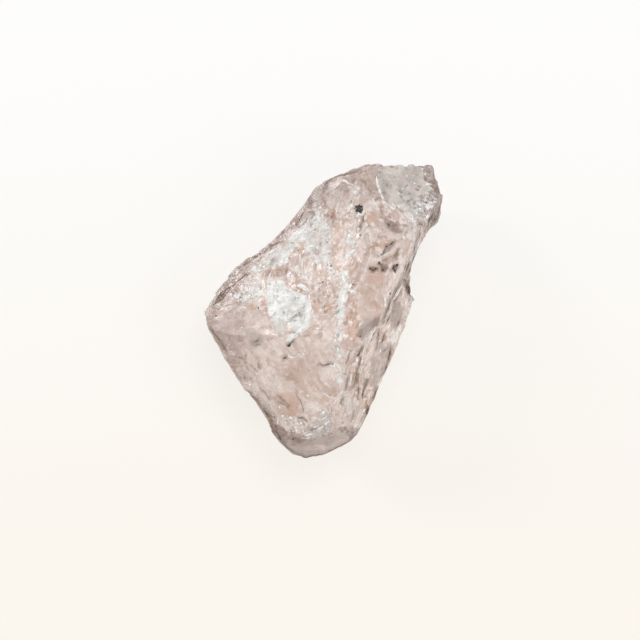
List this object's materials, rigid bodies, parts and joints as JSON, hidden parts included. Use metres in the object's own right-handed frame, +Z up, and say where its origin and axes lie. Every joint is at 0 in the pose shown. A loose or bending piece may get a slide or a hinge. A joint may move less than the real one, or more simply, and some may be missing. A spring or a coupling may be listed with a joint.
{
  "type": "morganite crystal",
  "caption": "Rough broken piece of pink see-through beryl lying on its flat back, with curved chips, a striated steep side, a blunt dome at one end and a knob at the other.",
  "frame": {"origin": "on the flat resting face, under the middle of the stone's bounding box", "axes": "+Z up from the resting face, +Y along the long side from the dome to the knob, +X from the pointed tip to the striated side"},
  "size_m": [0.0212, 0.026, 0.0133],
  "materials": {
    "morganite": "see-through pale pink beryl, glossy on the fresh breaks, milky and frosted along the ridge and in the chips"
  },
  "bodies": {
    "root": {"crystal": "morganite"}
  },
  "joints": []
}
